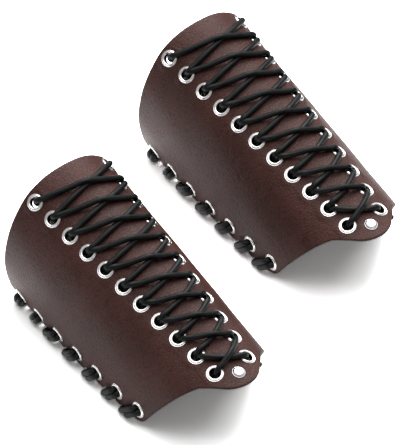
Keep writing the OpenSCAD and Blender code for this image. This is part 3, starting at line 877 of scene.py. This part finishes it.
def makeLaceMaterial():
    # Black waxed lace, satin: noise drawn out along the lace for its streaks, faint specks
    look = laceLook
    material, tree, shader, spot = newMaterial("laceBlack", {"Specular IOR Level": look["gloss"]})
    uneven = placeGroup(tree, unevenness, {"Vector": spot, "Blotch Scale": look["blotchScale"],
                                           "Speck Scale": look["speckScale"]})
    uv = add(tree, "ShaderNodeUVMap", uv_map="alongLace").outputs["UV"]
    stretched = add(tree, "ShaderNodeVectorMath", {0: uv, 1: look["streaks"]},
                    operation="MULTIPLY").outputs[0]
    streak = noise(tree, stretched, 1.0, 3.0)
    tone = math2(tree, "MULTIPLY", uneven.outputs["Blotch"], spread(tree, streak, 0.35, 0.65))
    tree.links.new(mixColour(tree, tone, look["deep"], look["waxed"]), shader.inputs["Base Color"])
    rough = spread(tree, uneven.outputs["Blotch"], 0, 1, look["roughness"])
    tree.links.new(rough, shader.inputs["Roughness"])
    streaks = bump(tree, streak, 0.8, look["streakDepth"])
    specks = bump(tree, uneven.outputs["Speck"], 0.3, look["speckDepth"], streaks)
    tree.links.new(specks, shader.inputs["Normal"])
    return material


nickelLook = {
    "blotchScale": 190.0, "speckScale": 2600.0, "polish": 0.00002,
    # The dark inside colour is painted shade down the barrels and on the rolled ends
    "paintedBarrelShade": (0.012, 0.0115, 0.011, 1), "barrelRougher": 0.35,
    "eyelet": {"bright": (0.96, 0.95, 0.93, 1), "dull": (0.9, 0.89, 0.88, 1), "roughness": (0.16, 0.24)},
    "washer": {"bright": (0.74, 0.73, 0.71, 1), "dull": (0.55, 0.54, 0.52, 1), "roughness": (0.24, 0.45)},
    "rivet": {"bright": (0.95, 0.94, 0.93, 1), "dull": (0.86, 0.85, 0.84, 1), "roughness": (0.2, 0.3)},
}


def makeNickelMaterial(fitting):
    # Nickel plate: slow tone changes, specks of dulling, fine unevenness in the polish, and
    # painted shade down the barrels and on the rolled ends, rougher there
    look, own = nickelLook, nickelLook[fitting]
    material, tree, shader, spot = newMaterial(fitting + "Nickel", {"Metallic": 1.0})
    uneven = placeGroup(tree, unevenness, {"Vector": spot, "Blotch Scale": look["blotchScale"],
                                           "Speck Scale": look["speckScale"]})
    inside = add(tree, "ShaderNodeAttribute", attribute_name="inside").outputs["Fac"]
    colour = mixColour(tree, uneven.outputs["Blotch"], own["dull"], own["bright"])
    # Painted shade down the barrels, where the laces keep the light out
    colour = mixColour(tree, inside, colour, look["paintedBarrelShade"])
    tree.links.new(colour, shader.inputs["Base Color"])
    dulled = math2(tree, "MULTIPLY", uneven.outputs["Speck"], uneven.outputs["Blotch"])
    rough = math2(tree, "ADD", spread(tree, dulled, 0, 1, own["roughness"]),
                  math2(tree, "MULTIPLY", inside, look["barrelRougher"]))
    tree.links.new(rough, shader.inputs["Roughness"])
    polish = bump(tree, uneven.outputs["Speck"], 0.04, look["polish"])
    tree.links.new(polish, shader.inputs["Normal"])
    return material


looks = {"cuff_leather": makeLeatherMaterial(), "lace_black": makeLaceMaterial()}
for fitting in ("eyelet", "washer", "rivet"):
    looks[fitting + "_nickel"] = makeNickelMaterial(fitting)
print("materials ready:", ", ".join(looks))

# Every piece of both cuffs
leatherPoints, leatherFaces, leatherFields = makeLeather()
print("leather:", len(leatherPoints), "points,", len(leatherFaces), "faces")
topTube = tube(topRoute())
coils = [knotCoil(knotSeat(side), *lacingSeats[side][-1][1:]) for side in (-1, 1)]
topLace = joined([topTube] + [tube(c, laceR * lace["knotPinch"]) for c in coils])
tieCoil = knotCoil(tie, np.array([0, 1.0, 0]), np.array([0, 0, 1.0]), np.array([1.0, 0, 0]))
closingLace = joined([tube(closingRoute()), tube(tieCoil, laceR * lace["knotPinch"])])
print("laces:", len(topLace[0]), "and", len(closingLace[0]), "points")

for cuffName, place in places.items():
    piece = addMesh(cuffName + "_sheet", leatherPoints + place, leatherFaces, leatherFields)
    dress(piece, cuffName, "cuff_leather", looks["cuff_leather"], "leather")
    for kind, seats in (("lacing", lacingSeats), ("edge", edgeSeats)):
        for word, side in (("left", -1), ("right", 1)):
            points, faces = onSeats(eyeletProfile(), eyelet["segments"], seats[side], True)
            inside = np.tile(insideShare(eyeletProfile()), len(seats[side]))
            piece = addMesh(f"{cuffName}_{kind}_rims_{word}", points + place, faces,
                            {"inside": inside})
            dress(piece, cuffName, "eyelet_nickel", looks["eyelet_nickel"], f"{kind}_eyelets_{word}")
    points, faces = onSeats(rivetProfile(), rivet["segments"], [rivetSeat], False)
    piece = addMesh(cuffName + "_rivet_dome", points + place, faces)
    dress(piece, cuffName, "rivet_nickel", looks["rivet_nickel"], "rivet_cap")
    for word, (points, faces, uv) in (("top", topLace), ("closing", closingLace)):
        piece = addMesh(f"{cuffName}_{word}_cord", points + place, faces, uv=uv)
        dress(piece, cuffName, "lace_black", looks["lace_black"], word + "_lace")
    for node in ("lacing_washers_left", "lacing_washers_right", "edge_washers_left",
                 "edge_washers_right", "rivet_post"):
        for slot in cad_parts[cuffName + "_" + node].material_slots:
            slot.material = looks["washer_nickel"]
    print(cuffName, "dressed")

# Floor, light and camera, all in metres
studio = {
    "floorSize": 6.0,
    "floorShade": 0.8,                        # to light that bounces
    "floorSeen": 2.5, "floorGlow": 0.1,       # to the camera
    "floorMirrored": 2.0, "floorFar": 0.05,   # to gloss, near the cuffs and far from them
    "tableReach": (0.12, 0.45),
    "world": 0.3, "roomShade": 0.4,           # level of the ceiling, and the room's share of it
    "ceilingAway": 0.45, "ceilingReach": (0.3, 0.85),
    "aim": (0, -0.07, 0.04),                  # of the lights, from midway between the cuffs' origins
    "key": {"size": 2.3, "power": 26.0, "distance": 1.5, "left": -0.1, "away": 0.3, "up": 1.0},
    "back": {"size": 1.2, "power": 19.0, "distance": 1.8, "left": -0.2, "away": 0.9, "up": 1.0},
}
cameraSet = {"azimuth": 37.65, "elevation": 42.15, "distance": 6.5, "pixelsPerMm": 1.6328,
             "targetX": 200.1, "targetY": 137.6, "width": 400, "height": 445,
             "sensorWidth": 36.0, "clip": (0.1, 40.0)}


def mirroredRay(tree, path):
    # 1 for a ray that comes by way of gloss or glass
    return math2(tree, "MAXIMUM", path.outputs["Is Glossy Ray"], path.outputs["Is Transmission Ray"])


def makeFloor():
    # A plain diffuse floor that keeps the shadow. The camera sees it exposed to white. Gloss
    # sees a white table that fades out between the two distances of tableReach
    half = studio["floorSize"] / 2
    mesh = bpy.data.meshes.new("studioFloor")
    mesh.from_pydata([(-half, -half, 0), (half, -half, 0), (half, half, 0), (-half, half, 0)],
                     [], [(0, 1, 2, 3)])
    floor = bpy.data.objects.new("studioFloor", mesh)
    bpy.context.scene.collection.objects.link(floor)
    material = bpy.data.materials.new("studioFloor")
    material.use_nodes = True
    tree = material.node_tree
    tree.nodes.clear()
    path = add(tree, "ShaderNodeLightPath")
    spot = add(tree, "ShaderNodeTexCoord").outputs["Object"]
    far = add(tree, "ShaderNodeVectorMath", {0: spot}, operation="LENGTH").outputs["Value"]
    table = spread(tree, far, *studio["tableReach"], (studio["floorMirrored"], studio["floorFar"]))
    bounced = add(tree, "ShaderNodeBsdfDiffuse", {"Color": (studio["floorShade"],) * 3 + (1,)}).outputs[0]
    mirrored = add(tree, "ShaderNodeBsdfDiffuse", {"Color": table}).outputs[0]
    seen = add(tree, "ShaderNodeBsdfDiffuse", {"Color": (studio["floorSeen"],) * 3 + (1,)}).outputs[0]
    glow = add(tree, "ShaderNodeEmission", {"Strength": studio["floorGlow"]}).outputs[0]
    seen = add(tree, "ShaderNodeAddShader", {0: seen, 1: glow}).outputs[0]
    mixed = add(tree, "ShaderNodeMixShader",
                {0: mirroredRay(tree, path), 1: bounced, 2: mirrored}).outputs[0]
    mixed = add(tree, "ShaderNodeMixShader",
                {0: path.outputs["Is Camera Ray"], 1: mixed, 2: seen}).outputs[0]
    add(tree, "ShaderNodeOutputMaterial", {"Surface": mixed})
    mesh.materials.append(material)


def makeWorld():
    # White to the camera. The object sees a dim room under a ceiling tilted to the back: the
    # share is a smooth step of the ray's dot product with the ceiling's direction. Gloss and
    # glass see it at full strength, other rays at the plain level
    world = bpy.data.worlds.new("studioWorld")
    bpy.context.scene.world = world
    world.use_nodes = True
    tree = world.node_tree
    tree.nodes.clear()
    path = add(tree, "ShaderNodeLightPath")
    spot = add(tree, "ShaderNodeTexCoord").outputs["Object"]
    ceiling = unit(away * studio["ceilingAway"] + np.array([0, 0, 1.0]))
    facing = add(tree, "ShaderNodeVectorMath", {0: spot, 1: ceiling.tolist()},
                 operation="DOT_PRODUCT").outputs["Value"]
    room = spread(tree, facing, *studio["ceilingReach"], (studio["roomShade"], 1.0))
    level = spread(tree, mirroredRay(tree, path), 0, 1, (studio["world"], 1.0))
    strength = math2(tree, "MULTIPLY", room, level)
    white = (1, 1, 1, 1)
    lighting = add(tree, "ShaderNodeBackground", {"Color": white, "Strength": strength}).outputs[0]
    backdrop = add(tree, "ShaderNodeBackground", {"Color": white, "Strength": 1.0}).outputs[0]
    mixed = add(tree, "ShaderNodeMixShader",
                {0: path.outputs["Is Camera Ray"], 1: lighting, 2: backdrop}).outputs[0]
    add(tree, "ShaderNodeOutputWorld", {"Surface": mixed})


azimuth, elevation = math.radians(cameraSet["azimuth"]), math.radians(cameraSet["elevation"])
away = np.array([math.sin(azimuth), math.cos(azimuth), 0])
rightward = np.array([math.cos(azimuth), -math.sin(azimuth), 0])
middle = (places["right_cuff"] + places["left_cuff"]) / 2 * mm + np.array(studio["aim"])


def makeLight(name, values):
    # A square soft box that looks at the middle of the pair
    data = bpy.data.lights.new(name, "AREA")
    data.size = values["size"]
    data.energy = values["power"]
    lamp = bpy.data.objects.new(name, data)
    bpy.context.scene.collection.objects.link(lamp)
    way = unit(-rightward * values["left"] + away * values["away"] + np.array([0, 0, values["up"]]))
    lamp.location = Vector(middle + way * values["distance"])
    lamp.rotation_euler = Vector(-way).to_track_quat("-Z", "Y").to_euler()


def makeCamera():
    # Looks at the far cuff's origin from the photo's angle, then turned so that the origin
    # falls on its pixel
    spec = cameraSet
    target = places["right_cuff"] * mm
    look = away * math.cos(elevation) - np.array([0, 0, math.sin(elevation)])
    data = bpy.data.cameras.new("photoCamera")
    data.sensor_fit = "HORIZONTAL"
    data.sensor_width = spec["sensorWidth"]
    perPixel = mm / (spec["distance"] * spec["pixelsPerMm"])  # angle of a pixel, in radians
    data.lens = spec["sensorWidth"] / (perPixel * spec["width"])
    data.clip_start, data.clip_end = spec["clip"]
    tilt = elevation + math.atan((spec["height"] / 2 - spec["targetY"]) * perPixel)
    pan = azimuth - math.atan((spec["targetX"] - spec["width"] / 2) * perPixel)
    aim = Vector((math.sin(pan) * math.cos(tilt), math.cos(pan) * math.cos(tilt), -math.sin(tilt)))
    camera = bpy.data.objects.new("photoCamera", data)
    bpy.context.scene.collection.objects.link(camera)
    camera.location = Vector(target - look * spec["distance"])
    camera.rotation_euler = aim.to_track_quat("-Z", "Y").to_euler()
    bpy.context.scene.camera = camera


makeFloor()
makeWorld()
makeLight("keySoftbox", studio["key"])
makeLight("backSoftbox", studio["back"])
makeCamera()
bpy.context.scene.view_settings.view_transform = "Standard"
print("studio ready")
